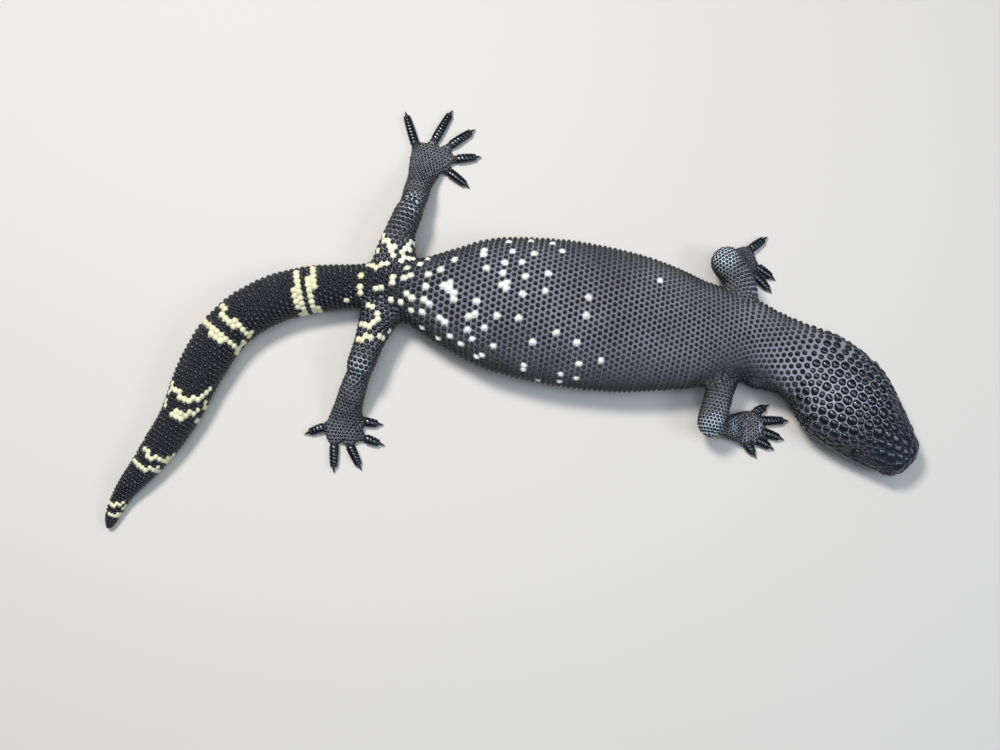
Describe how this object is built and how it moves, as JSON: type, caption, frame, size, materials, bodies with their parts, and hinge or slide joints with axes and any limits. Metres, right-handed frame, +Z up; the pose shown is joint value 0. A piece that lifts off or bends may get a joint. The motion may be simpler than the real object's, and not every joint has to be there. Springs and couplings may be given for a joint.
{
  "type": "beaded lizard model",
  "caption": "Life-size still model of a beaded lizard resting on its belly, head turned aside, tail curled back, hide covered in bead-like scutes.",
  "frame": {"origin": "on the floor below the middle of the whole animal's box", "axes": "+X along the longest side, towards the head; +Z up from the floor; +Y towards the animal's left"},
  "size_m": [0.4703, 0.2559, 0.0489],
  "materials": {
    "hide": "glossy black beads on dull grey-black skin, cream spots and tail bands",
    "claw": "polished dark horn",
    "eye": "wet gloss"
  },
  "bodies": {
    "root": {"eye_left": "eye", "eye_right": "eye", "front_left_claw_1": "claw", "front_left_claw_2": "claw", "front_left_claw_3": "claw", "front_left_claw_4": "claw", "front_left_claw_5": "claw", "front_left_foot": "hide", "front_left_lower_leg": "hide", "front_left_upper_leg": "hide", "front_right_claw_1": "claw", "front_right_claw_2": "claw", "front_right_claw_3": "claw", "front_right_claw_4": "claw", "front_right_claw_5": "claw", "front_right_foot": "hide", "front_right_lower_leg": "hide", "front_right_upper_leg": "hide", "head": "hide", "hind_left_claw_1": "claw", "hind_left_claw_2": "claw", "hind_left_claw_3": "claw", "hind_left_claw_4": "claw", "hind_left_claw_5": "claw", "hind_left_foot": "hide", "hind_left_lower_leg": "hide", "hind_left_upper_leg": "hide", "hind_right_claw_1": "claw", "hind_right_claw_2": "claw", "hind_right_claw_3": "claw", "hind_right_claw_4": "claw", "hind_right_claw_5": "claw", "hind_right_foot": "hide", "hind_right_lower_leg": "hide", "hind_right_upper_leg": "hide", "lower_jaw": "hide", "neck": "hide", "tail_bend": "hide", "tail_end": "hide", "tail_root": "hide", "tail_taper": "hide", "torso_belly": "hide", "torso_chest": "hide", "torso_hips": "hide", "torso_shoulders": "hide"}
  },
  "joints": []
}
